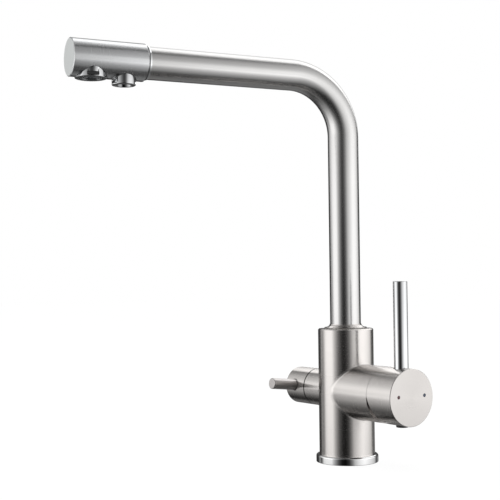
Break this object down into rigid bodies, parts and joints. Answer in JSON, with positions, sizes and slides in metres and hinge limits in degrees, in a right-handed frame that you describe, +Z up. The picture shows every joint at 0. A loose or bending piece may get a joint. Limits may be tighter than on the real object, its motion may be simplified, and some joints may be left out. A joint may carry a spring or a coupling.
{
  "type": "kitchen tap",
  "caption": "Kitchen tap with a swivelling bent-tube spout, a side mixer lever, a small side lever for drinking water and separate outlets for each.",
  "frame": {"origin": "centre of the underside of the base ring, on the worktop's surface", "axes": "+Z up along the body; +X along the mixer boss; -Y towards the user, where the spout points when it is straight ahead"},
  "size_m": [0.1402, 0.2546, 0.3267],
  "materials": {
    "brushed_metal": "satin",
    "polished_chrome": "polished",
    "steel_hardware": "satin",
    "brass_inside": "satin",
    "seal_rubber": "matte",
    "cartridge_plastic": "matte",
    "bearing_plastic": "matte",
    "water_hose": "matte",
    "insert_plastic": "gloss",
    "plug_plastic": "gloss",
    "ceramic": "polished",
    "red_marker": "gloss",
    "blue_marker": "gloss"
  },
  "bodies": {
    "body": {"base_ring": "polished_chrome", "base_seal": "seal_rubber", "inlet_block": "brass_inside", "inlet_gasket": "seal_rubber", "body_column": "brushed_metal", "mixer_boss": "brushed_metal", "filter_boss": "brushed_metal", "spout_keeper_screw": "steel_hardware", "swivel_bush": "bearing_plastic", "cartridge_port_seals": "seal_rubber", "cartridge_base": "cartridge_plastic", "cartridge_fixed_disc": "ceramic", "cartridge_housing": "cartridge_plastic", "cartridge_nut": "brass_inside", "cartridge_dome": "polished_chrome", "filter_valve_seal": "seal_rubber", "filter_valve_body": "brass_inside", "filter_fixed_disc": "ceramic"},
    "mixer_rotor": {"cartridge_rotor": "cartridge_plastic", "lever_pivot_pin": "steel_hardware"},
    "flow_disc": {"cartridge_moving_disc": "ceramic", "disc_carrier": "cartridge_plastic"},
    "mixer_handle": {"lever_stem": "steel_hardware", "mixer_hub": "brushed_metal", "mixer_lever": "polished_chrome", "mixer_grub_screw": "steel_hardware", "mixer_grub_plug": "plug_plastic", "hot_marker": "red_marker", "cold_marker": "blue_marker"},
    "filter_handle": {"filter_moving_disc": "ceramic", "filter_spindle": "brass_inside", "spindle_clip": "steel_hardware", "filter_hub": "brushed_metal", "filter_lever": "brushed_metal", "filter_grub_screw": "steel_hardware"},
    "spout": {"spout_tube": "brushed_metal", "spout_collar": "brushed_metal", "spout_adaptor": "brass_inside", "spout_o_rings": "seal_rubber", "filter_water_tube": "water_hose", "spout_head": "brushed_metal", "head_ring": "brushed_metal", "head_end_cap": "brushed_metal", "outlet_block": "cartridge_plastic", "aerator_housing": "polished_chrome", "aerator_insert": "insert_plastic", "aerator_gasket": "seal_rubber", "filter_nozzle": "polished_chrome", "nozzle_insert": "insert_plastic", "nozzle_gasket": "seal_rubber"}
  },
  "joints": [
    {"name": "spout_swivel", "type": "hinge", "parent": "body", "child": "spout", "pos_m": [0, 0, 0.1], "axis": [0, 0, 1], "continuous": true},
    {"name": "temperature_turn", "type": "hinge", "parent": "body", "child": "mixer_rotor", "pos_m": [0.036, 0, 0.0575], "axis": [1, 0, 0], "range_deg": [-45, 45]},
    {"name": "lever_tilt", "type": "hinge", "parent": "mixer_rotor", "child": "mixer_handle", "pos_m": [0.042, 0, 0.0575], "axis": [0, 1, 0], "range_deg": [0, 15]},
    {"name": "disc_slide", "type": "slide", "parent": "mixer_rotor", "child": "flow_disc", "axis": [0, 0, 1], "range_m": [0, 0.0032]},
    {"name": "filter_turn", "type": "hinge", "parent": "body", "child": "filter_handle", "pos_m": [-0.051, 0, 0.0575], "axis": [-1, 0, 0], "range_deg": [-6, 84]}
  ],
  "couplings": [
    {"joint": "disc_slide", "follows": "lever_tilt", "m_per_rad": 0.01186}
  ]
}
